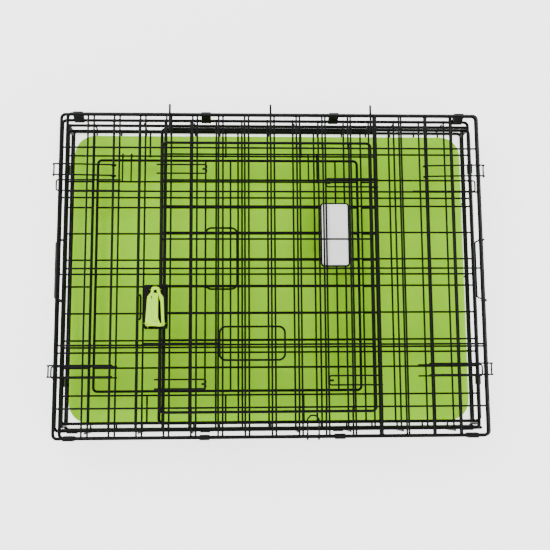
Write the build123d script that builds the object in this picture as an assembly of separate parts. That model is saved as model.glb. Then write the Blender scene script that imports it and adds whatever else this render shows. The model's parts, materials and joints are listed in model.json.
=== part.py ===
from build123d import *
import os
from math import atan2, cos, degrees, hypot, radians, sin

# Folding wire dog crate, 24 inch size, modelled folded flat with its loose tray inside.
# X runs along the crate's length, Y across it, Z up. The origin is under the middle of the base.
# From the floor up, the stack is: base, tray, left end, right end, side wall, roof, door wall.
# Every panel is a heavy border wire that carries a mesh of thinner wires on one of its faces.

# ---- driving dimensions, mm -------------------------------------------------
CELL = 38.1                          # pitch of the mesh along the crate, 1.5 inch
CELLS = 16                           # cells along the crate
LENGTH = CELLS * CELL                # length over border wire centres
DEPTH = 12 * CELL                    # depth over border wire centres
BORDER_D = 4.6                       # border wire and hinge rails
MESH_D = 2.8                         # mesh wire
HOOK_D = 2.4                         # wire of hooks, eyes and staples
CORNER_R = 6.0                       # bend of a border wire at its corners
PLAY = 0.3                           # radial play of an eye or a clip on its wire

BASE_Z = BORDER_D / 2                # border heights of the folded stack
LEFT_END_Z = 37.0
RIGHT_END_Z = 49.0
SIDE_Z = 59.0
ROOF_Z = 73.5
DOOR_WALL_Z = 88.0

ROOF_SHIFT = 6.0                     # the roof hangs this far to the right in its hinges
SIDE_SHIFT = -4.0                    # the side wall hangs this far to the left
ROOF_HINGE_Y = DEPTH / 2 + 5.4       # roof hinge wire, just outside the side wall's far edge
DOOR_WALL_HINGE_Y = -DEPTH / 2 - 9.5
DOOR_WALL_FREE_Y = 228.1             # free edge of the door wall, on the floor rail when erected

END_LENGTH = 467.0                   # an end panel's height once it stands up
END_WIDTH = 438.0                    # an end panel's width over border centres
END_PITCH = END_WIDTH / 11           # pitch of the end panels' upright wires
THIRD = 3 * CELL                     # pitch of the cross wires, 4.5 inch

TRAY_X = 597.0
TRAY_Y = 438.0
TRAY_BOTTOM = 7.7
TRAY_TOP = 28.9
TRAY_CORNER = 30.0
TRAY_WALL = 2.2

DOOR_LEFT = -157.4                   # side door border wire centres
DOOR_RIGHT = 145.9
DOOR_BACK = 185.0
DOOR_FRONT = -203.0
OPENING_X = 4 * CELL                 # half width of the side door opening
OPENING_BACK = 179.0
OPENING_FRONT = -197.0
POST_D = 3.4                         # hinge post of the side door
DOOR_D = 4.0                         # side door border wire

CLIP_X = (-284.0, -95.25, 95.25, 284.0)
CLIP_WIDTH = 14.0
CLIP_WALL = 1.0

# ---- derived levels ---------------------------------------------------------
MESH_LIFT = (BORDER_D + MESH_D) / 2              # mesh wire centre off the border's centre
CROSS_LIFT = MESH_LIFT - MESH_D                  # cross wire centre off the border's centre
RAIL_DROP = BORDER_D + 0.6                       # hinge rail centre below its panel's border
FRONT_RAIL_Z = SIDE_Z - RAIL_DROP
LEFT_RAIL_Z = LEFT_END_Z - RAIL_DROP
RIGHT_RAIL_Z = RIGHT_END_Z - RAIL_DROP
BACK_RAIL_Z = 34.1
BACK_RAIL_Y = DEPTH / 2
KERB_Y = 223.3                                   # posts beside the tray slot
DOOR_Z = DOOR_WALL_Z + (BORDER_D + POST_D) / 2   # side door border and hinge post
EYE_TURN = BORDER_D / 2 + PLAY + HOOK_D / 2      # radius of an eye round a border wire
REACH_Y = -DOOR_WALL_HINGE_Y + EYE_TURN + HOOK_D / 2   # furthest wire tip, front and back

nodes = {}


# ---- wire helpers -----------------------------------------------------------
def bar(start, end, diameter=MESH_D):
    """A straight round wire between two points."""
    run = Vector(*end) - Vector(*start)
    return Solid.make_cylinder(diameter / 2, run.length, Plane(origin=start, z_dir=run))


def bend(centre, radius, first_angle, diameter):
    """A quarter bend of wire that lies flat, from first_angle onwards."""
    turn = Plane(origin=centre, x_dir=(cos(radians(first_angle)), sin(radians(first_angle)), 0),
                 z_dir=(0, 0, 1))
    return Solid.make_torus(radius, diameter / 2, turn, major_angle=90)


def ring(left, right, front, back, z, diameter=BORDER_D, radius=CORNER_R):
    """A rectangle of wire as four straight runs and four bends."""
    r = radius
    runs = [bar((left + r, front, z), (right - r, front, z), diameter),
            bar((left + r, back, z), (right - r, back, z), diameter),
            bar((left, front + r, z), (left, back - r, z), diameter),
            bar((right, front + r, z), (right, back - r, z), diameter)]
    corners = [(right - r, back - r, 0), (left + r, back - r, 90),
               (left + r, front + r, 180), (right - r, front + r, 270)]
    return runs + [bend((x, y, z), r, angle, diameter) for x, y, angle in corners]


def bent_wire(points, radius, diameter=HOOK_D):
    """A wire along straight runs with rounded bends."""
    path = FilletPolyline(*points, radius=radius)
    section = Plane(origin=path @ 0, z_dir=path % 0) * Circle(diameter / 2)
    return sweep(section, path=path)


def eye_points(axis_point, turn, outward):
    """Corners of an open eye that turns round axis_point and leaves it as a rod at its top.

    outward points away from the rod. The first point is the wire's free end.
    """
    centre, out, up = Vector(*axis_point), Vector(*outward) * turn, Vector(0, 0, turn)
    corners = [centre - out + up * 0.05, centre - out - up, centre + out - up, centre + out + up]
    return [(c.X, c.Y, c.Z) for c in corners]


def hinge_clip(x, wire_a, wire_b, width=CLIP_WIDTH, along_x=True):
    """A crimped band round two parallel wires; each wire is given as (across, z)."""
    gap = hypot(wire_b[0] - wire_a[0], wire_b[1] - wire_a[1])
    tilt = degrees(atan2(wire_b[1] - wire_a[1], wire_b[0] - wire_a[0]))
    middle = ((wire_a[0] + wire_b[0]) / 2, (wire_a[1] + wire_b[1]) / 2)
    if along_x:
        plane = Plane(origin=(x - width / 2, middle[0], middle[1]), x_dir=(0, 1, 0), z_dir=(1, 0, 0))
    else:
        plane = Plane(origin=(middle[0], x + width / 2, middle[1]), x_dir=(1, 0, 0), z_dir=(0, -1, 0))
    inner_height = BORDER_D + 2 * PLAY
    outer = SlotCenterToCenter(gap, inner_height + 2 * CLIP_WALL, rotation=tilt)
    inner = SlotCenterToCenter(gap, inner_height, rotation=tilt)
    return extrude(plane * (outer - inner), width)


def upright_places():
    """X of the inner mesh wires of a long panel."""
    return [(n - CELLS / 2) * CELL for n in range(1, CELLS)]


def store(name, solids):
    """Keep a node as a group of its separate solids."""
    pieces = []
    for shape in solids:
        pieces.extend(shape.solids())
    nodes[name] = pieces


# ---- base -------------------------------------------------------------------
def make_base():
    half_x, half_y = LENGTH / 2, DEPTH / 2
    store("base_border", ring(-half_x, half_x, -half_y, half_y, BASE_Z))
    floor_z = BASE_Z + MESH_LIFT
    store("base_floor_wires", [bar((x, -half_y - 1, floor_z), (x, half_y + 1, floor_z))
                               for x in upright_places()])
    inside = half_x - BORDER_D / 2
    cross_z = BASE_Z + CROSS_LIFT
    store("base_cross_wires", [bar((-inside, y, cross_z), (inside, y, cross_z))
                               for y in (-THIRD, 0, THIRD)])
    under = BORDER_D
    posts = []
    for side in (-1, 1):
        posts.append(bar((side * half_x, -half_y, under),
                         (side * half_x, -half_y, FRONT_RAIL_Z - BORDER_D / 2), BORDER_D))
        posts.append(bar((side * half_x, half_y, under),
                         (side * half_x, half_y, BACK_RAIL_Z - BORDER_D / 2), BORDER_D))
    store("base_corner_posts", posts)
    store("front_hinge_rail", [bar((-half_x, -half_y, FRONT_RAIL_Z),
                                   (half_x, -half_y, FRONT_RAIL_Z), BORDER_D)])
    store("back_rail", [bar((-half_x, BACK_RAIL_Y, BACK_RAIL_Z),
                            (half_x, BACK_RAIL_Y, BACK_RAIL_Z), BORDER_D)])
    for name, x, z in (("left_hinge_rail", -half_x, LEFT_RAIL_Z),
                       ("right_hinge_rail", half_x, RIGHT_RAIL_Z)):
        rail = [bar((x, -KERB_Y - BORDER_D / 2, z), (x, KERB_Y + BORDER_D / 2, z), BORDER_D)]
        for y in (-KERB_Y, KERB_Y):
            rail.append(bar((x, y, under), (x, y, z - BORDER_D / 2), BORDER_D))
        store(name, rail)
    kerb = BORDER_D / 2 + MESH_D / 2
    kerb_places = [n * CELL for n in range(-7, 8, 2)]
    store("front_kerb_wires", [bar((x, -half_y - kerb, 0.6), (x, -half_y - kerb, FRONT_RAIL_Z))
                               for x in kerb_places])
    store("back_kerb_wires", [bar((x, half_y + kerb, 0.6), (x, half_y + kerb, BACK_RAIL_Z))
                              for x in kerb_places])


# ---- tray -------------------------------------------------------------------
def make_tray():
    height = TRAY_TOP - TRAY_BOTTOM
    rim = 7.0
    foot_x, foot_y = TRAY_X - 2 * rim - 6, TRAY_Y - 2 * rim - 6
    draft = 8
    bowl = extrude(Plane.XY.offset(TRAY_BOTTOM) * RectangleRounded(foot_x, foot_y, TRAY_CORNER - rim),
                   height - TRAY_WALL, taper=-draft)
    flange = extrude(Plane.XY.offset(TRAY_TOP - TRAY_WALL) * RectangleRounded(TRAY_X, TRAY_Y, TRAY_CORNER),
                     TRAY_WALL)
    hollow = extrude(Plane.XY.offset(TRAY_BOTTOM + TRAY_WALL)
                     * RectangleRounded(foot_x - 2 * TRAY_WALL, foot_y - 2 * TRAY_WALL,
                                        TRAY_CORNER - rim - TRAY_WALL),
                     height, taper=-draft)
    store("tray", [bowl + flange - hollow])


# ---- end panels -------------------------------------------------------------
def end_uprights():
    """Y of an end panel's inner upright wires."""
    return [-END_WIDTH / 2 + END_PITCH * n for n in range(1, 11)]


def end_clips(hinge_x, panel_z, rail_z):
    return [hinge_clip(y, (hinge_x, rail_z), (hinge_x, panel_z), along_x=False)
            for y in (-4 * END_PITCH, 4 * END_PITCH)]


def make_right_end():
    """Plain end panel: hinged at the right, lying towards the left."""
    hinge, top, half = LENGTH / 2, LENGTH / 2 - END_LENGTH, END_WIDTH / 2
    z = RIGHT_END_Z
    store("right_end_border", ring(top, hinge, -half, half, z))
    store("right_end_uprights", [bar((top - 1, y, z + MESH_LIFT), (hinge + 1, y, z + MESH_LIFT))
                                 for y in end_uprights()])
    inside = half - BORDER_D / 2
    store("right_end_cross_wires", [bar((x, -inside, z + CROSS_LIFT), (x, inside, z + CROSS_LIFT))
                                    for x in [hinge - 9.8 - THIRD * n for n in range(4)]])
    store("right_end_clips", end_clips(hinge, z, RIGHT_RAIL_Z))


SILL, HEADER = 40.0, 444.0           # end door opening, measured up from the hinge
END_DOOR_LOW, END_DOOR_HIGH = 46.0, 438.0
END_DOOR_BARS = (208.0, 245.5, 404.6)


def make_left_end():
    """End panel with a door: hinged at the left, lying towards the right."""
    hinge, top, half = -LENGTH / 2, -LENGTH / 2 + END_LENGTH, END_WIDTH / 2
    z = LEFT_END_Z
    mesh_z, cross_z = z + MESH_LIFT, z + CROSS_LIFT
    store("left_end_border", ring(hinge, top, -half, half, z))
    places = end_uprights()
    uprights = [bar((hinge - 1, y, mesh_z), (top + 1, y, mesh_z)) for y in (places[0], places[-1])]
    for y in places[1:-1]:
        uprights.append(bar((hinge - 1, y, mesh_z), (hinge + SILL + 1, y, mesh_z)))
        uprights.append(bar((hinge + HEADER - 1, y, mesh_z), (top + 1, y, mesh_z)))
    store("left_end_uprights", uprights)
    inside = half - BORDER_D / 2
    cross = [bar((hinge + d, -inside, cross_z), (hinge + d, inside, cross_z))
             for d in (9.8, SILL, HEADER)]
    for d in (9.8 + THIRD, 9.8 + 2 * THIRD, 9.8 + 3 * THIRD):
        for side in (-1, 1):
            cross.append(bar((hinge + d, side * inside, cross_z),
                             (hinge + d, side * (places[-1] - 1), cross_z)))
    store("left_end_cross_wires", cross)
    store("left_end_clips", end_clips(hinge, z, LEFT_RAIL_Z))

    make_end_door(hinge, mesh_z, places)


def make_end_door(hinge, mesh_z, places):
    """The end panel's door, hung by rods that lie across its upright wires."""
    low, high = hinge + END_DOOR_LOW, hinge + END_DOOR_HIGH
    side = places[-1] - 6.0
    turn = MESH_D / 2 + PLAY + HOOK_D / 2
    upright_z = mesh_z + turn - (HOOK_D + MESH_D) / 2
    z = upright_z - (DOOR_D + MESH_D) / 2
    store("end_door_border", ring(low, high, -side, side, z, DOOR_D))
    store("end_door_uprights", [bar((low - 1, y, upright_z), (high + 1, y, upright_z))
                                for y in places[1:-1]])
    reach = side - DOOR_D / 2
    store("end_door_cross_wires", [bar((hinge + d, -reach, upright_z - MESH_D),
                                       (hinge + d, reach, upright_z - MESH_D))
                                   for d in END_DOOR_BARS])
    eyes = []
    for d in (90.0, 370.0):
        for x in (hinge + d - 6.5, hinge + d + 6.5):
            points = eye_points((x, places[-1], mesh_z), turn, (0, 1, 0))
            eyes.append(bent_wire(points + [(x, side - 34, mesh_z + turn)], turn - 0.05))
    store("end_door_hinge_eyes", eyes)
    store("end_door_bolt", wire_bolt(-73.0, 22.0, upright_z + (MESH_D + BOLT_THICK) / 2 + PLAY,
                                     along_y=True))


def wire_bolt(mid_x, mid_y, z, along_y=False, rod=0.0):
    """A flat loop of wire that is the grip of a slide bolt, with an optional rod to the left."""
    long, short, thick, r = 92.0, 47.0, BOLT_THICK, 9.0
    half_x, half_y = (short / 2, long / 2) if along_y else (long / 2, short / 2)
    solids = ring(mid_x - half_x, mid_x + half_x, mid_y - half_y, mid_y + half_y, z, thick, r)
    if rod:
        solids.append(bar((mid_x - half_x - thick / 2, mid_y, z),
                          (mid_x - half_x - rod, mid_y, z), thick))
    return solids


# ---- end latches on the side wall and the door wall -------------------------
LATCH_PIVOT = 6 * CELL               # the latches turn on this mesh wire, left and right
LATCH_GAP = 16.0                     # between a latch's two rods
LATCH_TIP = 9.8                      # how far the hook stands outside the border wire


def end_latch(side, mid_y, wire_x, wire_z, border_x, border_z):
    """Two rods from eyes on a mesh wire, out over the border wire, joined by the hook's bar."""
    turn = MESH_D / 2 + PLAY + HOOK_D / 2
    over = border_z + BORDER_D / 2 + HOOK_D / 2 + 0.3
    tip = border_x + side * LATCH_TIP
    rods = []
    for y in (mid_y - LATCH_GAP / 2, mid_y + LATCH_GAP / 2):
        points = [(wire_x, y, wire_z + turn), (border_x - side * 12, y, over), (tip, y, over),
                  (tip, y, border_z - 4)]
        rods.append(bent_wire(points, 2.4))
        rods.append(Solid.make_torus(turn, HOOK_D / 2,
                                     Plane(origin=(wire_x, y, wire_z), z_dir=(0, 1, 0))))
    grip = bar((tip, mid_y - LATCH_GAP / 2, border_z - 4), (tip, mid_y + LATCH_GAP / 2, border_z - 4),
               HOOK_D)
    whole = rods[0]
    for piece in rods[1:] + [grip]:
        whole = whole + piece
    return whole


# ---- side wall (lowest of the three long panels) ----------------------------
SIDE_BARS = (110.4, -3.9, -118.2)    # y of the side wall's cross wires
PLATE = (38.0, 91.0, 1.6)            # name plate, blank
PLATE_AT = (95.0, 54.0)


def make_side_wall():
    left, right = -LENGTH / 2 + SIDE_SHIFT, LENGTH / 2 + SIDE_SHIFT
    front, back, z = -DEPTH / 2, DEPTH / 2, SIDE_Z
    mesh_z, cross_z = z + MESH_LIFT, z + CROSS_LIFT
    store("side_wall_border", ring(left, right, front, back, z))
    store("side_wall_uprights", [bar((x + SIDE_SHIFT, front - 1, mesh_z), (x + SIDE_SHIFT, back + 1, mesh_z))
                                 for x in upright_places()])
    inside = LENGTH / 2 - BORDER_D / 2
    store("side_wall_cross_wires", [bar((SIDE_SHIFT - inside, y, cross_z), (SIDE_SHIFT + inside, y, cross_z))
                                    for y in SIDE_BARS])
    store("front_clips", [hinge_clip(x, (front, FRONT_RAIL_Z), (front, z)) for x in CLIP_X])
    latches = []
    for side in (-1, 1):
        for y in (128.0, -146.0):
            latches.append(side_latch(side, y))
    store("side_wall_latches", latches)
    make_name_plate()


def side_latch(side, mid_y):
    """A latch of the side wall: one bent wire lying on the mesh, its hook past the border."""
    z = SIDE_Z + MESH_LIFT + (MESH_D + HOOK_D) / 2
    inner = SIDE_SHIFT + side * (LENGTH / 2 - 88)
    tip = SIDE_SHIFT + side * (LENGTH / 2 + LATCH_TIP + SIDE_SHIFT)
    half = LATCH_GAP / 2
    points = [(inner, mid_y - half, z), (tip, mid_y - half, z), (tip, mid_y + half, z),
              (inner, mid_y + half, z)]
    return bent_wire(points, 3.0)


def make_name_plate():
    width, height, thick = PLATE
    x, y = PLATE_AT
    z = SIDE_Z + MESH_LIFT + MESH_D / 2
    edge = 2.4
    back = Pos(x, y, z + 0.5) * Box(width + 2 * edge, height + 2 * edge, 1.0)
    back = fillet(back.edges().filter_by(Axis.Z), 5.0)
    plate = Pos(x, y, z + 1.0 + thick / 2) * Box(width, height, thick)
    plate = fillet(plate.edges().filter_by(Axis.Z), 3.0)
    store("name_plate_back", [back])
    store("name_plate", [plate])


# ---- roof (middle of the three) ---------------------------------------------
ROOF_BARS = (117.1, 2.8, -111.5)


def make_roof():
    left, right = -LENGTH / 2 + ROOF_SHIFT, LENGTH / 2 + ROOF_SHIFT
    front, back, z = DOOR_WALL_HINGE_Y, ROOF_HINGE_Y, ROOF_Z
    mesh_z, cross_z = z - MESH_LIFT, z - CROSS_LIFT
    store("roof_border", ring(left, right, front, back, z))
    store("roof_wires", [bar((x + ROOF_SHIFT, front - 1, mesh_z), (x + ROOF_SHIFT, back + 1, mesh_z))
                         for x in upright_places()])
    inside = LENGTH / 2 - BORDER_D / 2
    store("roof_cross_wires", [bar((ROOF_SHIFT - inside, y, cross_z), (ROOF_SHIFT + inside, y, cross_z))
                               for y in ROOF_BARS])
    store("roof_clips", [hinge_clip(x, (DEPTH / 2, SIDE_Z), (back, z)) for x in CLIP_X])
    store("roof_hook_left", [roof_hook(left, z)])
    store("roof_hook_right", [roof_hook(right, z)])


def roof_hook(wire_x, wire_z):
    """A U of wire on the roof's short border that hooks over the end panel's top."""
    reach, half = 11.0, 45.0
    first = eye_points((wire_x, -half, wire_z), EYE_TURN, (1, 0, 0))
    second = eye_points((wire_x, half, wire_z), EYE_TURN, (1, 0, 0))
    level = wire_z + EYE_TURN
    grip = [(wire_x - reach, -half + 4, level), (wire_x - reach, half - 4, level)]
    return bent_wire(first + grip + second[::-1], EYE_TURN - 0.05)


# ---- door wall (top of the stack) -------------------------------------------
WALL_BARS = -109.0                   # y of the bar beside the door opening


def make_door_wall():
    left, right = -LENGTH / 2, LENGTH / 2
    front, back, z = DOOR_WALL_HINGE_Y, DOOR_WALL_FREE_Y, DOOR_WALL_Z
    mesh_z, cross_z = z - MESH_LIFT, z - CROSS_LIFT
    store("door_wall_border", ring(left, right, front, back, z))
    uprights = []
    for x in upright_places():
        if abs(x) < OPENING_X - 1:
            uprights.append(bar((x, front - 1, mesh_z), (x, OPENING_FRONT + 1, mesh_z)))
            uprights.append(bar((x, OPENING_BACK - 1, mesh_z), (x, back + 1, mesh_z)))
        else:
            uprights.append(bar((x, front - 1, mesh_z), (x, back + 1, mesh_z)))
    store("door_wall_uprights", uprights)
    inside = LENGTH / 2 - BORDER_D / 2
    cross = [bar((-inside, y, cross_z), (inside, y, cross_z)) for y in (OPENING_BACK, OPENING_FRONT)]
    for side in (-1, 1):
        cross.append(bar((side * inside, WALL_BARS, cross_z), (side * (OPENING_X - 1), WALL_BARS, cross_z)))
    store("door_wall_cross_wires", cross)
    store("door_hinge_post", [bar((OPENING_X, front - 1, DOOR_Z), (OPENING_X, back + 1, DOOR_Z), POST_D)])
    store("door_wall_clips", [hinge_clip(x, (front, ROOF_Z), (front, z)) for x in CLIP_X])
    tongue_z = z + (BORDER_D + 3.2) / 2
    store("floor_tongues", [bar((x, back - 24, tongue_z), (x, REACH_Y, tongue_z), 3.2)
                            for x in (-OPENING_X + 5, 0, OPENING_X - 5)])
    for name, side, mid_y in (("end_latch_back_left", -1, 145.0), ("end_latch_back_right", 1, 145.0),
                              ("end_latch_front_left", -1, -145.0), ("end_latch_front_right", 1, -145.0)):
        store(name, [end_latch(side, mid_y, side * LATCH_PIVOT, mesh_z, side * LENGTH / 2, z)])
    make_lock_ring()


LOCK_X = 57.0
LOCK_TIP_Y = -208.5


def make_lock_ring():
    """A thumb loop of one wire, whose two eyes turn on the door wall's hinge wire."""
    y, z, half = DOOR_WALL_HINGE_Y, DOOR_WALL_Z, 8.0
    first = eye_points((LOCK_X - half, y, z), EYE_TURN, (0, -1, 0))
    second = eye_points((LOCK_X + half, y, z), EYE_TURN, (0, -1, 0))
    level = z + EYE_TURN
    loop = [(LOCK_X - half, LOCK_TIP_Y - 5, level), (LOCK_X - 3.5, LOCK_TIP_Y, level),
            (LOCK_X + 3.5, LOCK_TIP_Y, level), (LOCK_X + half, LOCK_TIP_Y - 5, level)]
    store("lock_ring", [bent_wire(first + loop + second[::-1], 3.4)])


# ---- side door --------------------------------------------------------------
DOOR_BARS = (42.0, -109.0)
STRAP_LENGTH = 72.0
HINGE_STRAPS = ((131.0, 119.0), (-153.5, -166.5))
STOP_STRAPS = ((151.5, 138.5), (-157.5, -170.5))
BOLT_MID = (-28.0, -107.5)
BOLT_THICK = 3.0


def make_side_door():
    z = DOOR_Z
    store("side_door_border", ring(DOOR_LEFT, DOOR_RIGHT, DOOR_FRONT, DOOR_BACK, z, DOOR_D))
    inner = DOOR_D / 2
    places = [x for x in upright_places() if abs(x) < OPENING_X - 1]
    store("side_door_uprights", [bar((x, DOOR_FRONT + inner, z), (x, DOOR_BACK - inner, z)) for x in places])
    bar_z = z + MESH_D
    store("side_door_cross_wires", [bar((DOOR_LEFT + 1.5, y, bar_z), (DOOR_RIGHT - 1.5, y, bar_z))
                                    for y in DOOR_BARS])
    rod_z = z + inner + HOOK_D / 2
    eyes = []
    for pair in HINGE_STRAPS:
        for y, curl in ((pair[0], 1), (pair[1], -1)):
            eyes.append(strap(OPENING_X, y, rod_z, -1, curl, eye_turn=rod_z - z))
    store("side_door_hinge_eyes", eyes)
    stops = []
    for pair in STOP_STRAPS:
        for y, curl in ((pair[0], 1), (pair[1], -1)):
            stops.append(strap(DOOR_LEFT - 8, y, rod_z, 1, curl))
    store("side_door_stops", stops)
    make_bolt(bar_z + (MESH_D + BOLT_THICK) / 2 + PLAY)
    make_thumb_latch()


def strap(outer_x, y, z, inward, curl, eye_turn=0.0):
    """A rod on the door: a curl at its inner end, and at its outer end an eye round the post."""
    inner_x, curl_y = outer_x + inward * STRAP_LENGTH, y - curl * 6.8
    curled = [(inner_x, y, z), (inner_x, curl_y, z), (inner_x - inward * 6, curl_y, z)]
    if eye_turn:
        return bent_wire(eye_points((outer_x, y, z - eye_turn), eye_turn, (1, 0, 0)) + curled, 3.0)
    return bent_wire([(outer_x, y, z)] + curled, 3.0)


def make_bolt(z):
    """Slide bolt of the side door, its guides on the door and its keeper on the wall."""
    x, y = BOLT_MID
    store("side_door_bolt", wire_bolt(x, y, z, rod=106.0))
    store("bolt_guides", [staple(-3 * CELL, y, z, DOOR_Z + MESH_D / 2),
                          staple(-CELL, y - 23.5, z, DOOR_Z + MESH_D / 2),
                          staple(-CELL, y + 23.5, z, DOOR_Z + MESH_D / 2)])
    store("bolt_keeper", [staple(-5 * CELL, y, z, DOOR_WALL_Z - MESH_LIFT + MESH_D / 2)])


def staple(x, y, rod_z, foot_z):
    """An arch of wire over a bolt rod, standing on a mesh wire."""
    half = BOLT_THICK / 2 + 0.5 + HOOK_D / 2 + 1.5
    top = rod_z + BOLT_THICK / 2 + 0.5 + HOOK_D / 2
    points = [(x, y - half, foot_z), (x, y - half, top), (x, y + half, top), (x, y + half, foot_z)]
    return bent_wire(points, 2.4)


THUMB_Y = -55.5                      # middle of the thumb latch along the door's edge
THUMB_LENGTH = 56.0
THUMB_PIN_X = -151.0
THUMB_PIN_D = 3.0
THUMB_OUT_X = -178.0


def make_thumb_latch():
    """Snap latch of the side door: black bracket and pin, and a coloured plastic lever."""
    foot = DOOR_Z + DOOR_D / 2
    plate_top = foot + 3.0
    pin_z = plate_top + 3.5
    half = THUMB_LENGTH / 2
    ear = 3.0
    width = THUMB_PIN_X + 4 - (THUMB_OUT_X - 3)
    plate = Pos((THUMB_PIN_X + 4 + THUMB_OUT_X - 3) / 2, THUMB_Y, (foot + plate_top) / 2) \
        * Box(width, 2 * half + 2 * ear + 0.8, plate_top - foot)
    plate = fillet(plate.edges().filter_by(Axis.Z), 3.0)
    bracket = plate
    for side in (-1, 1):
        y = THUMB_Y + side * (half + 0.4 + ear / 2)
        lug = Pos(THUMB_PIN_X, y, (plate_top + pin_z + 3) / 2) * Box(7.5, ear, pin_z + 3 - plate_top)
        bracket = bracket + lug
    hole = Solid.make_cylinder(THUMB_PIN_D / 2 + 0.02, 2 * half + 20,
                               Plane(origin=(THUMB_PIN_X, THUMB_Y - half - 10, pin_z), z_dir=(0, 1, 0)))
    store("thumb_latch_bracket", [bracket - hole])
    pin_half = half + ear + 1.0
    store("thumb_latch_pin", [bar((THUMB_PIN_X, THUMB_Y - pin_half, pin_z),
                                  (THUMB_PIN_X, THUMB_Y + pin_half, pin_z), THUMB_PIN_D)])
    store("thumb_latch_lever", [thumb_lever(pin_z, plate_top + 0.3, half)])
    lip = bent_wire([(-5 * CELL, THUMB_Y - 17, DOOR_WALL_Z - MESH_LIFT + MESH_D / 2 + 1.6),
                     (-5 * CELL + 5.0, THUMB_Y - 17, DOOR_WALL_Z + 7.5),
                     (-5 * CELL + 5.0, THUMB_Y + 17, DOOR_WALL_Z + 7.5),
                     (-5 * CELL, THUMB_Y + 17, DOOR_WALL_Z - MESH_LIFT + MESH_D / 2 + 1.6)], 3.0, 3.2)
    store("thumb_latch_keeper", [lip])


def thumb_lever(pin_z, bottom, half):
    """The lever: a barrel on the pin and a tapered paddle with a rib along its middle."""
    barrel = Solid.make_cylinder(3.2, 2 * half, Plane(origin=(THUMB_PIN_X, THUMB_Y - half, pin_z),
                                                      z_dir=(0, 1, 0)))
    outline = Polyline((THUMB_PIN_X, THUMB_Y - half), (THUMB_OUT_X, THUMB_Y - half),
                       (THUMB_OUT_X + 1.5, THUMB_Y + half - 16), (THUMB_OUT_X + 8, THUMB_Y + half - 10),
                       (THUMB_OUT_X + 9, THUMB_Y + half), (THUMB_PIN_X, THUMB_Y + half), close=True)
    paddle = extrude(Plane.XY.offset(bottom) * make_face(outline), 5.0)
    paddle = paddle - Solid.make_cylinder(3.2, 2 * half + 2,
                                          Plane(origin=(THUMB_PIN_X, THUMB_Y - half - 1, pin_z),
                                                z_dir=(0, 1, 0)))
    rib = Pos(THUMB_OUT_X + 13, THUMB_Y - 6, bottom + 5.0 + 0.9) * Box(6, 34, 1.8)
    bore = Solid.make_cylinder(THUMB_PIN_D / 2 + PLAY, 2 * half + 2,
                               Plane(origin=(THUMB_PIN_X, THUMB_Y - half - 1, pin_z), z_dir=(0, 1, 0)))
    return paddle + barrel + rib - bore


def write_parts():
    os.makedirs("parts", exist_ok=True)
    for name, solids in nodes.items():
        shape = solids[0] if len(solids) == 1 else Compound(children=solids)
        export_step(shape, os.path.join("parts", name + ".step"))


make_base()
make_tray()
make_right_end()
make_left_end()
make_side_wall()
make_roof()
make_door_wall()
make_side_door()
write_parts()
print(len(nodes), "nodes,", sum(len(solids) for solids in nodes.values()), "solids")
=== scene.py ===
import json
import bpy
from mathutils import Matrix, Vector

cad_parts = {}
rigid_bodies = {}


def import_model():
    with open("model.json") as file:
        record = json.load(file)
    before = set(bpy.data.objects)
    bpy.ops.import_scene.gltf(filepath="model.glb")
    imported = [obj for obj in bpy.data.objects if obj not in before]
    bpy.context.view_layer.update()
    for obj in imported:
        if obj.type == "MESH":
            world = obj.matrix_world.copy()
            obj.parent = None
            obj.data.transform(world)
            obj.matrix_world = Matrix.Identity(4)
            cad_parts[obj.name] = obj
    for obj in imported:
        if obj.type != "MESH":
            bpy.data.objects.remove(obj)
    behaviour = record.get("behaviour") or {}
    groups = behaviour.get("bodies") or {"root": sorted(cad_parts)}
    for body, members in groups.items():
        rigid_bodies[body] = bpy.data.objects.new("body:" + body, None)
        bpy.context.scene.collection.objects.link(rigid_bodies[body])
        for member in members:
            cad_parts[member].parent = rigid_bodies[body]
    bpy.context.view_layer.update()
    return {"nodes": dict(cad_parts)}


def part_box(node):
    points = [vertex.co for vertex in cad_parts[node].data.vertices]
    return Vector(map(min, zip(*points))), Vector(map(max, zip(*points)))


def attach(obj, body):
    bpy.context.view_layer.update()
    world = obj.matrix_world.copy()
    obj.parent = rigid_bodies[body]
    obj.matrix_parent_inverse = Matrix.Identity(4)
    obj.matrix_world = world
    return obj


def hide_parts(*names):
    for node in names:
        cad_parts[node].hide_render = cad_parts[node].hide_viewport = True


bl_info = {
    "name": "Folding Wire Dog Crate",
    "version": (1, 0, 0),
    "blender": (4, 5, 0),
    "location": "3D View > Sidebar > Crate",
    "description": "Moulded tray, welds, plastic latch and finishes of a folding wire dog crate",
    "category": "Object",
}

from math import radians

import bmesh
import bpy
from mathutils import Matrix, Vector

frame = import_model()

# ---- look of the finishes: colour, gain, roughness, grain, relief and shade --
FINISHES = {
    "lacquered wire": ("lacquer", 1.0, 0.36, 1400, 0.25, 0.25),
    "hook wire": ("lacquer", 1.0, 0.28, 1100, 0.15, 0.2),
    "clip steel": ("lacquer", 1.6, 0.42, 700, 0.4, 0.3),
    "tray plastic": ("tray", 1.0, 0.40, 900, 0.35, 0.035),
    "grip plastic": ("grip", 1.0, 0.30, 1600, 0.2, 0.04),
    "plate face": ("plate", 1.0, 0.45, 1200, 0.2, 0.02),
    "black plastic": ("lacquer", 1.0, 0.55, 1000, 0.4, 0.2),
}
SHINE = 0.08
DRIFT_SCALE, DRIFT_DETAIL = 14.0, 4.0
GRAIN_DETAIL = 6.0
DULLER, GLOSSIER = 0.09, 0.07
RELIEF_DEPTH = 0.0003

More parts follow.
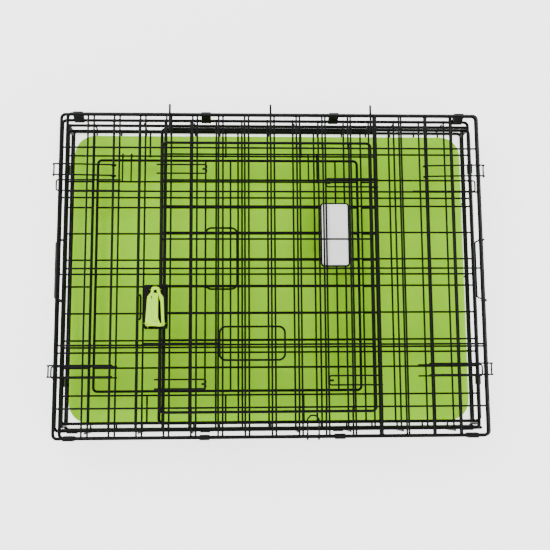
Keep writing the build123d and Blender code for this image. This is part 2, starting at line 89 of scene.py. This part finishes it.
# ---- shape details in metres; a step is an inset and a rise ------------------
TRAY_EDGE_BELOW_TOP = 0.0030
TRAY_EDGE_STEPS = ((0.0006, 0.0022), (0.0012, 0.0008))
GROOVE_SIDE = 0.0008
LIP_WIDTH, LIP_DROP = 0.0010, 0.0008
FOOT_STEPS, FOOT_FALL = ((0.0012, -0.0024), (0.0028, -0.0011)), 0.0035
FLOOR_MARGIN, FLOOR_STEP = 0.010, 0.0015
RIDGE_SINK = 0.0002
FRAME_FROM_RIGHT, FRAME_FROM_FRONT = 0.029, 0.026
FRAME_WIDE, FRAME_DEEP, FRAME_CORNER, FRAME_EDGE = 0.092, 0.080, 0.018, 0.0006
FRAME_BAND, FRAME_STEP = 0.004, 0.0014
STRIP_LEFT, STRIP_RIGHT, STRIP_DEEP, STRIP_CORNER, STRIP_EDGE = 0.104, 0.096, 0.082, 0.0035, 0.0008
PLATE_CORNER, PLATE_EDGE, PLATE_BAND, PLATE_STEP = 0.003, 0.0005, 0.0022, 0.0003
LEVER_OFFSET, LEVER_HALF, LEVER_CORNER = 0.0015, 0.46, 0.0022
LEVER_SHOULDER, LEVER_NECK, LEVER_BODY = 0.014, 0.009, 0.62
LEVER_STEPS = ((0.0006, 0.0009), (0.0010, 0.0004), (0.0022, 0.0), (0.0006, -0.0007))
SPINE_HALF, SPINE_FROM_END, SPINE_HEIGHT, SPINE_CORNER, SPINE_EDGE = 0.0042, 0.007, 0.0034, 0.0035, 0.0009
SPINE_STEPS = ((0.0008, 0.0), (0.0004, -0.0012))
SOFT_ALL_ROUND = 180

# ---- floor, light and camera -------------------------------------------------
FLOOR_HALF, FLOOR_BELOW = 6.0, 0.0005
FLOOR_COLOUR, FLOOR_ROUGHNESS, FLOOR_GLOW = (0.97, 0.97, 0.97, 1), 0.9, 1.5
SKY_STRENGTH = 1.7
LAMPS = (("key", (-0.9, 0.9, 1.7), 1.6, 34), ("fill", (1.2, -0.8, 1.6), 1.8, 20))
LAMP_TARGET = (0, 0, 0.05)
LENS, SENSOR, NEAR, FAR = 56.4, 36.0, 0.05, 20
CAMERA_AT = (-0.0461, -0.1821, 1.3117)
CAMERA_TURN = (8.05, -2.33, -0.42)


# ---- sizes and colours a user would change ----------------------------------
def length(name, description, default):
    return bpy.props.FloatProperty(name=name, description=description, default=default, unit="LENGTH")


def colour(name, description, default):
    return bpy.props.FloatVectorProperty(name=name, description=description, size=3,
                                         subtype="COLOR", default=default)


class CrateTraySizes(bpy.types.PropertyGroup):
    rim: length("Rim width", "Flat rim round the tray", 0.0105)
    groove: length("Groove depth", "Groove that stiffens the rim", 0.0012)
    corner: length("Corner radius", "Outer corner of the tray", 0.030)
    wall: length("Wall", "Thickness of the moulded wall", 0.0022)
    slope: length("Wall slope", "How far the wall leans in over its height", 0.0045)
    ridge: length("Ridge height", "Height of the moulded ridges on the floor", 0.0014)


class CrateWireSizes(bpy.types.PropertyGroup):
    weld_reach: length("Weld reach", "Radius of the melted metal at a crossing", 0.0019)
    weld_height: length("Weld height", "Half height of the melted metal", 0.0011)
    mesh_wire: length("Mesh wire", "Diameter of a mesh wire", 0.0028)
    border_wire: length("Border wire", "Diameter of a border wire", 0.0046)


class CrateColours(bpy.types.PropertyGroup):
    lacquer: colour("Lacquer", "Black coat of the wires", (0.0022, 0.0022, 0.0025))
    tray: colour("Tray", "Lime plastic of the tray", (0.31, 0.74, 0.0015))
    grip: colour("Grip", "Lime plastic of the thumb latch", (0.40, 0.76, 0.010))
    plate: colour("Name plate", "White face of the blank name plate", (0.86, 0.86, 0.85))


# ---- materials --------------------------------------------------------------
def plastic_or_lacquer(name, tone, roughness, grain, bump, shade):
    """A coloured surface with fine grain, slow colour drift and uneven gloss."""
    material = bpy.data.materials.new(name)
    material.use_nodes = True
    nodes, links = material.node_tree.nodes, material.node_tree.links
    shader = nodes["Principled BSDF"]
    shader.inputs["Specular IOR Level"].default_value = SHINE
    place = nodes.new("ShaderNodeTexCoord")
    drift = nodes.new("ShaderNodeTexNoise")
    drift.inputs["Scale"].default_value = DRIFT_SCALE
    drift.inputs["Detail"].default_value = DRIFT_DETAIL
    links.new(place.outputs["Object"], drift.inputs["Vector"])
    tint = nodes.new("ShaderNodeValToRGB")
    dark, light = tint.color_ramp.elements
    dark.position, light.position = 0.3, 0.7
    dark.color = [c * (1 - shade) for c in tone] + [1]
    light.color = [min(1, c * (1 + shade)) for c in tone] + [1]
    links.new(drift.outputs["Fac"], tint.inputs["Fac"])
    links.new(tint.outputs["Color"], shader.inputs["Base Color"])
    pores = nodes.new("ShaderNodeTexNoise")
    pores.inputs["Scale"].default_value = grain
    pores.inputs["Detail"].default_value = GRAIN_DETAIL
    links.new(place.outputs["Object"], pores.inputs["Vector"])
    gloss = nodes.new("ShaderNodeMapRange")
    gloss.inputs["To Min"].default_value = roughness - GLOSSIER
    gloss.inputs["To Max"].default_value = roughness + DULLER
    links.new(pores.outputs["Fac"], gloss.inputs["Value"])
    links.new(gloss.outputs["Result"], shader.inputs["Roughness"])
    relief = nodes.new("ShaderNodeBump")
    relief.inputs["Strength"].default_value = bump
    relief.inputs["Distance"].default_value = RELIEF_DEPTH
    links.new(pores.outputs["Fac"], relief.inputs["Height"])
    links.new(relief.outputs["Normal"], shader.inputs["Normal"])
    return material


def finish_of(key):
    """The material of a finish, made once."""
    if key in bpy.data.materials:
        return bpy.data.materials[key]
    paint, gain, *rest = FINISHES[key]
    tone = [c * gain for c in getattr(bpy.context.scene.crate_colours, paint)]
    return plastic_or_lacquer(key, tone, *rest)


def finish_for_node(node):
    """Which finish a CAD node takes, by what it is."""
    if node == "tray":
        return "tray plastic"
    if node == "thumb_latch_lever":
        return "grip plastic"
    if node == "name_plate":
        return "plate face"
    if node in ("name_plate_back", "thumb_latch_bracket"):
        return "black plastic"
    if node.endswith("_clips"):
        return "clip steel"
    if any(word in node for word in ("hook", "latch", "bolt", "eyes", "stops", "lock")):
        return "hook wire"
    return "lacquered wire"


# ---- mesh helpers -----------------------------------------------------------
def piece_from(bm, name, finish, body, soft_angle=35):
    """Make an object from a bmesh, smooth its shallow edges and let it ride on a body."""
    bmesh.ops.recalc_face_normals(bm, faces=bm.faces)
    mesh = bpy.data.meshes.new(name)
    bm.to_mesh(mesh)
    bm.free()
    mesh.polygons.foreach_set("use_smooth", [True] * len(mesh.polygons))
    mesh.set_sharp_from_angle(angle=radians(soft_angle))
    mesh.materials.append(finish_of(finish))
    obj = bpy.data.objects.new(name, mesh)
    bpy.context.collection.objects.link(obj)
    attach(obj, body)
    return obj


def rounded_sheet(bm, low, high, z, corner, segments=8):
    """A flat face with rounded corners; returns it."""
    corners = [(low[0], low[1]), (high[0], low[1]), (high[0], high[1]), (low[0], high[1])]
    verts = [bm.verts.new((x, y, z)) for x, y in corners]
    face = bm.faces.new(verts)
    done = bmesh.ops.bevel(bm, geom=verts, offset=corner, segments=segments, profile=0.5,
                           affect="VERTICES", material=-1)
    faces = set(done["faces"]) | {f for v in done["verts"] for f in v.link_faces}
    return max(faces | ({face} if face.is_valid else set()), key=lambda f: f.calc_area())


def step_in(bm, face, width, rise=0.0):
    """Inset a face by width and move it by rise; the face stays the inner one."""
    bmesh.ops.inset_region(bm, faces=[face], thickness=width, depth=0, use_even_offset=True)
    bmesh.ops.translate(bm, verts=face.verts, vec=(0, 0, rise))


def solid_pad(bm, low, high, bottom, top, corner, edge):
    """A closed plate with rounded corners and a stepped, softened upper edge."""
    face = rounded_sheet(bm, low, high, bottom, corner, 6)
    base = bmesh.ops.extrude_face_region(bm, geom=[face], use_keep_orig=True)
    upper = [g for g in base["geom"] if isinstance(g, bmesh.types.BMFace)][0]
    bmesh.ops.translate(bm, verts=upper.verts, vec=(0, 0, top - bottom - edge))
    step_in(bm, upper, edge * 0.4, edge * 0.7)
    step_in(bm, upper, edge * 0.8, edge * 0.3)
    return upper


def places_along(node, axis, count, diameter):
    """Centres of evenly spaced wires of a node along an axis."""
    low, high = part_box(node)
    first, last = low[axis] + diameter / 2, high[axis] - diameter / 2
    return [first + (last - first) * i / (count - 1) for i in range(count)]


def level(node):
    """Height of the middle of a node."""
    low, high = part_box(node)
    return (low[2] + high[2]) / 2


def crossings(uprights, upright_axis, upright_count, others, other_count, other_diameter):
    """Points where a panel's evenly spaced wires touch the wires or borders across them."""
    wire = bpy.context.scene.crate_wires.mesh_wire
    along = places_along(uprights, upright_axis, upright_count, wire)
    across = places_along(others, 1 - upright_axis, other_count, other_diameter)
    z_up, z_other = level(uprights), level(others)
    share = wire / (wire + other_diameter)
    z = z_up + (z_other - z_up) * share
    points = []
    for a in along:
        for b in across:
            points.append(Vector((a, b, z)) if upright_axis == 0 else Vector((b, a, z)))
    return points


# ---- operators --------------------------------------------------------------
class CrateFinishNodes(bpy.types.Operator):
    """Give every carried-over part its finish"""
    bl_idname = "crate.finish_nodes"
    bl_label = "Finish wires, clips and latches"

    def execute(self, context):
        for node, obj in frame["nodes"].items():
            material = finish_of(finish_for_node(node))
            for holder in [obj] + list(obj.children_recursive):
                if holder.type != "MESH":
                    continue
                if not holder.material_slots:
                    holder.data.materials.append(material)
                for slot in holder.material_slots:
                    slot.material = material
        return {"FINISHED"}


class CrateTray(bpy.types.Operator):
    """Mould the slide-out tray with its grooved rim, sloping walls and floor ridges"""
    bl_idname = "crate.tray"
    bl_label = "Slide-out tray"

    def execute(self, context):
        sizes = context.scene.crate_tray
        low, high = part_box("tray")
        top, floor = high[2], low[2] + sizes.wall
        bm = bmesh.new()
        face = rounded_sheet(bm, low, high, top - TRAY_EDGE_BELOW_TOP, sizes.corner, 10)
        rim_steps = ((sizes.rim * 0.25, 0), (GROOVE_SIDE, -sizes.groove), (sizes.rim * 0.2, 0),
                     (GROOVE_SIDE, sizes.groove), (sizes.rim * 0.2, 0), (LIP_WIDTH, -LIP_DROP))
        wall_step = (sizes.slope, -(top - LIP_DROP - floor - FOOT_FALL))
        floor_steps = ((FLOOR_MARGIN, 0), (FLOOR_STEP, sizes.ridge * 0.5))
        for width, rise in (*TRAY_EDGE_STEPS, *rim_steps, wall_step, *FOOT_STEPS, *floor_steps):
            step_in(bm, face, width, rise)
        tray = piece_from(bm, "tray_moulding", "tray plastic", "tray")
        shell = tray.modifiers.new("Wall", "SOLIDIFY")
        shell.thickness, shell.offset = sizes.wall, -1
        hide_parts("tray")
        self.ridges(low, high, floor, sizes)
        return {"FINISHED"}

    def ridges(self, low, high, floor, sizes):
        """Ridges on the floor: a raised frame near the front right corner and a strip beside it."""
        base = floor + sizes.ridge * 0.5 - RIDGE_SINK
        right, front = high[0] - FRAME_FROM_RIGHT, low[1] + FRAME_FROM_FRONT
        bm = bmesh.new()
        upper = solid_pad(bm, (right - FRAME_WIDE, front), (right, front + FRAME_DEEP), base,
                          base + sizes.ridge, FRAME_CORNER, FRAME_EDGE)
        step_in(bm, upper, FRAME_BAND)
        step_in(bm, upper, FRAME_STEP, -sizes.ridge * 0.8)
        piece_from(bm, "tray_corner_recess", "tray plastic", "tray")
        bm = bmesh.new()
        solid_pad(bm, (right - STRIP_LEFT, front), (right - STRIP_RIGHT, front + STRIP_DEEP), base,
                  base + sizes.ridge * 1.2, STRIP_CORNER, STRIP_EDGE)
        piece_from(bm, "tray_floor_strip", "tray plastic", "tray")


class CrateWelds(bpy.types.Operator):
    """Melt a small weld where mesh wires cross each other and the borders"""
    bl_idname = "crate.welds"
    bl_label = "Welds"

    def execute(self, context):
        wires = context.scene.crate_wires
        m, b = wires.mesh_wire, wires.border_wire
        panels = {
            "base": ("base", [("base_floor_wires", 0, 15, "base_cross_wires", 3, m),
                              ("base_floor_wires", 0, 15, "base_border", 2, b)]),
            "right_end": ("base", [("right_end_uprights", 1, 10, "right_end_cross_wires", 4, m),
                                   ("right_end_uprights", 1, 10, "right_end_border", 2, b)]),
            "left_end": ("base", [("left_end_uprights", 1, 10, "left_end_border", 2, b)]),
            "side_wall": ("side_wall", [
                ("side_wall_uprights", 0, 15, "side_wall_cross_wires", 3, m),
                ("side_wall_uprights", 0, 15, "side_wall_border", 2, b)]),
            "roof": ("roof", [("roof_wires", 0, 15, "roof_cross_wires", 3, m),
                              ("roof_wires", 0, 15, "roof_border", 2, b)]),
            "door_wall": ("door_wall", [("door_wall_uprights", 0, 15, "door_wall_border", 2, b)]),
            "side_door": ("side_door", [
                ("side_door_uprights", 0, 7, "side_door_cross_wires", 2, m)]),
        }
        for panel, (body, pairs) in panels.items():
            bm = bmesh.new()
            for pair in pairs:
                for point in crossings(*pair):
                    place = Matrix.Translation(point) @ Matrix.Diagonal(
                        (wires.weld_reach, wires.weld_reach, wires.weld_height, 1))
                    bmesh.ops.create_icosphere(bm, subdivisions=1, radius=1.0, matrix=place)
            piece_from(bm, panel + "_welds", "lacquered wire", body,
                       SOFT_ALL_ROUND)
        return {"FINISHED"}


class CrateNamePlate(bpy.types.Operator):
    """Face the name plate in white plastic, left blank but for a plain raised frame"""
    bl_idname = "crate.name_plate"
    bl_label = "Blank name plate"

    def execute(self, context):
        low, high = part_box("name_plate")
        bm = bmesh.new()
        upper = solid_pad(bm, low, high, low[2], high[2], PLATE_CORNER, PLATE_EDGE)
        step_in(bm, upper, PLATE_BAND)
        step_in(bm, upper, PLATE_STEP, -PLATE_STEP)
        plate = piece_from(bm, "plate_face", "plate face", "side_wall")
        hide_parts("name_plate")
        return {"FINISHED"}


class CrateThumbLatch(bpy.types.Operator):
    """Shape the plastic thumb lever: a rounded head, shoulders and a slotted middle ridge"""
    bl_idname = "crate.thumb_latch"
    bl_label = "Thumb latch"

    def execute(self, context):
        low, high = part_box("thumb_latch_lever")
        middle = (low[0] + high[0]) / 2 - LEVER_OFFSET
        bottom, top = low[2], high[2]
        rise = (top - bottom) * LEVER_BODY
        bm = bmesh.new()
        wide = (high[0] - low[0]) * LEVER_HALF
        shoulder, neck = high[1] - LEVER_SHOULDER, high[1] - LEVER_NECK
        outline = [(-wide, low[1]), (wide, low[1]), (wide * 0.82, shoulder), (wide * 0.5, neck),
                   (wide * 0.4, high[1]), (-wide * 0.4, high[1]), (-wide * 0.5, neck),
                   (-wide * 0.82, shoulder)]
        verts = [bm.verts.new((middle + x, y, bottom)) for x, y in outline]
        bm.faces.new(verts)
        bmesh.ops.bevel(bm, geom=verts, offset=LEVER_CORNER, segments=4, profile=0.5, affect="VERTICES",
                        material=-1)
        face = max(bm.faces, key=lambda f: f.calc_area())
        made = bmesh.ops.extrude_face_region(bm, geom=[face], use_keep_orig=True)
        upper = [g for g in made["geom"] if isinstance(g, bmesh.types.BMFace)][0]
        bmesh.ops.translate(bm, verts=upper.verts, vec=(0, 0, rise))
        for width, lift in LEVER_STEPS:
            step_in(bm, upper, width, lift)
        lever = piece_from(bm, "thumb_lever", "grip plastic", "thumb_latch_lever")
        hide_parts("thumb_latch_lever")
        self.spine(middle, low, high, bottom + rise)
        return {"FINISHED"}

    def spine(self, middle, low, high, level_z):
        """The raised middle with its dark slot."""
        bm = bmesh.new()
        upper = solid_pad(bm, (middle - SPINE_HALF, low[1] + SPINE_FROM_END),
                          (middle + SPINE_HALF, high[1] - LEVER_NECK),
                          level_z, level_z + SPINE_HEIGHT, SPINE_CORNER, SPINE_EDGE)
        for width, lift in SPINE_STEPS:
            step_in(bm, upper, width, lift)
        piece_from(bm, "thumb_lever_ridge", "grip plastic", "thumb_latch_lever")


class CrateStage(bpy.types.Operator):
    """Pale floor, soft lights and the camera above the folded crate"""
    bl_idname = "crate.stage"
    bl_label = "Floor, light and camera"

    def execute(self, context):
        bm = bmesh.new()
        bmesh.ops.create_grid(bm, x_segments=1, y_segments=1, size=FLOOR_HALF,
                              matrix=Matrix.Translation((0, 0, -FLOOR_BELOW)))
        mesh = bpy.data.meshes.new("studio_floor")
        bm.to_mesh(mesh)
        bm.free()
        floor = bpy.data.objects.new("studio_floor", mesh)
        pale = bpy.data.materials.new("pale floor")
        pale.use_nodes = True
        shader = pale.node_tree.nodes["Principled BSDF"]
        shader.inputs["Base Color"].default_value = FLOOR_COLOUR
        shader.inputs["Roughness"].default_value = FLOOR_ROUGHNESS
        shader.inputs["Emission Color"].default_value = (1, 1, 1, 1)
        shader.inputs["Emission Strength"].default_value = FLOOR_GLOW
        mesh.materials.append(pale)
        context.collection.objects.link(floor)
        world = bpy.data.worlds.new("studio")
        world.use_nodes = True
        sky = world.node_tree.nodes["Background"]
        sky.inputs["Color"].default_value = (1, 1, 1, 1)
        sky.inputs["Strength"].default_value = SKY_STRENGTH
        context.scene.world = world
        for name, place, size, power in LAMPS:
            lamp = bpy.data.lights.new(name, "AREA")
            lamp.size, lamp.energy = size, power
            obj = bpy.data.objects.new(name, lamp)
            obj.location = place
            aim = Vector(LAMP_TARGET) - Vector(place)
            obj.rotation_euler = aim.to_track_quat("-Z", "Y").to_euler()
            context.collection.objects.link(obj)
        lens = bpy.data.cameras.new("camera")
        lens.lens, lens.sensor_width = LENS, SENSOR
        lens.clip_start, lens.clip_end = NEAR, FAR
        camera = bpy.data.objects.new("camera", lens)
        camera.location = CAMERA_AT
        camera.rotation_euler = [radians(angle) for angle in CAMERA_TURN]
        context.collection.objects.link(camera)
        context.scene.camera = camera
        return {"FINISHED"}


class CratePanel(bpy.types.Panel):
    """Everything that makes the crate, in order"""
    bl_idname = "VIEW3D_PT_crate"
    bl_label = "Wire Dog Crate"
    bl_space_type = "VIEW_3D"
    bl_region_type = "UI"
    bl_category = "Crate"

    def draw(self, context):
        for operator in OPERATORS:
            self.layout.operator(operator.bl_idname)
        scene = context.scene
        for group in (scene.crate_tray, scene.crate_wires, scene.crate_colours):
            for key in group.bl_rna.properties.keys():
                if key not in ("rna_type", "name"):
                    self.layout.prop(group, key)


OPERATORS = (CrateTray, CrateWelds, CrateNamePlate, CrateThumbLatch, CrateFinishNodes, CrateStage)
CLASSES = (CrateTraySizes, CrateWireSizes, CrateColours) + OPERATORS + (CratePanel,)


def register():
    for cls in CLASSES:
        bpy.utils.register_class(cls)
    bpy.types.Scene.crate_tray = bpy.props.PointerProperty(type=CrateTraySizes)
    bpy.types.Scene.crate_wires = bpy.props.PointerProperty(type=CrateWireSizes)
    bpy.types.Scene.crate_colours = bpy.props.PointerProperty(type=CrateColours)


def unregister():
    del bpy.types.Scene.crate_tray
    del bpy.types.Scene.crate_wires
    del bpy.types.Scene.crate_colours
    for cls in reversed(CLASSES):
        bpy.utils.unregister_class(cls)


def main():
    register()
    bpy.ops.crate.tray()
    bpy.ops.crate.welds()
    bpy.ops.crate.name_plate()
    bpy.ops.crate.thumb_latch()
    bpy.ops.crate.finish_nodes()
    bpy.ops.crate.stage()


if __name__ == "__main__":
    main()
